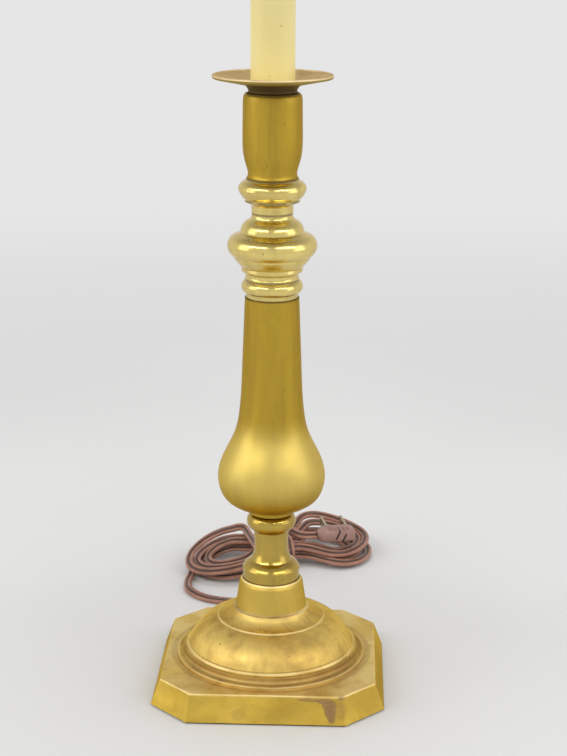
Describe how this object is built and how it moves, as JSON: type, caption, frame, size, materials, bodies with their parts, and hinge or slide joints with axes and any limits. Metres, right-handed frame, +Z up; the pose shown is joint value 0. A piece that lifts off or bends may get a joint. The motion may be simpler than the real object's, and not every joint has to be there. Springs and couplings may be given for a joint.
{
  "type": "table lamp",
  "caption": "Brass candlestick table lamp: octagonal stepped base, turned column, candle sleeve, turn-key socket, bulb, harp, fabric empire shade, tied hank of cord with plug",
  "frame": {"origin": "centre of the base on the surface it stands on", "axes": "+Z up, +Y to the back where the cord leaves, +X to the right seen from the front"},
  "size_m": [0.2819, 0.3501, 0.6363],
  "materials": {
    "cast_brass": "aged unlacquered brass with brown patina",
    "turned_brass": "turned and polished brass, lightly tarnished",
    "felt": "brown felt",
    "bushing": "brown moulded plastic",
    "steel": "zinc plated steel",
    "sleeve": "cream satin plastic",
    "fitting_brass": "bright brass plating",
    "liner": "pressed fibre",
    "core": "black moulded phenolic",
    "key": "dark brown moulded plastic",
    "cord": "brown flexible two-wire insulation",
    "plug": "brown moulded plastic",
    "blades": "bare brass",
    "bulb_glass": "frosted glass",
    "bulb_stem": "clear glass",
    "bulb_cap": "bright aluminium",
    "shade": "woven linen on a stiff backing",
    "trim": "folded linen binding",
    "shade_wire": "cream enamelled wire"
  },
  "bodies": {
    "lamp": {"base_casting": "cast_brass", "spool_stem": "turned_brass", "baluster": "turned_brass", "large_knop": "turned_brass", "upper_knop": "turned_brass", "candle_cup": "turned_brass", "drip_pan": "turned_brass", "felt_pad": "felt", "cord_bushing": "bushing", "base_washer": "steel", "base_nut": "steel", "threaded_rod": "steel", "candle_sleeve": "sleeve", "sleeve_cap": "fitting_brass", "harp_saddle": "fitting_brass", "harp": "fitting_brass", "harp_stud": "fitting_brass", "socket_cap": "fitting_brass", "socket_shell": "fitting_brass", "screw_shell": "fitting_brass", "centre_contact": "fitting_brass", "terminal_screws": "fitting_brass", "socket_liner": "liner", "socket_core": "core", "inner_cord": "cord", "cord_lead": "cord", "cord_hank": "cord", "plug_body": "plug", "plug_blades": "blades"},
    "key": {"switch_key": "key"},
    "bulb": {"bulb_glass": "bulb_glass", "bulb_cap": "bulb_cap", "bulb_contact": "fitting_brass", "bulb_mount": "bulb_stem"},
    "shade": {"shade_fabric": "shade", "shade_spider": "shade_wire", "shade_bottom_ring": "shade_wire", "shade_top_trim": "trim", "shade_bottom_trim": "trim"},
    "finial": {"finial": "turned_brass"},
    "ferrule_left": {"ferrule_left": "fitting_brass"},
    "ferrule_right": {"ferrule_right": "fitting_brass"}
  },
  "joints": [
    {"name": "key_turn", "type": "hinge", "parent": "lamp", "child": "key", "pos_m": [0, -0.02, 0.447], "axis": [0, 1, 0], "continuous": true},
    {"name": "bulb_out", "type": "slide", "parent": "lamp", "child": "bulb", "axis": [0, 0, 1], "range_m": [0, 0.028]},
    {"name": "shade_turn", "type": "hinge", "parent": "lamp", "child": "shade", "pos_m": [0, 0, 0.608], "axis": [0, 0, 1], "continuous": true},
    {"name": "finial_off", "type": "slide", "parent": "lamp", "child": "finial", "axis": [0, 0, 1], "range_m": [0, 0.03]},
    {"name": "ferrule_left_up", "type": "slide", "parent": "lamp", "child": "ferrule_left", "axis": [0, 0, 1], "range_m": [0, 0.012]},
    {"name": "ferrule_right_up", "type": "slide", "parent": "lamp", "child": "ferrule_right", "axis": [0, 0, 1], "range_m": [0, 0.012]}
  ]
}
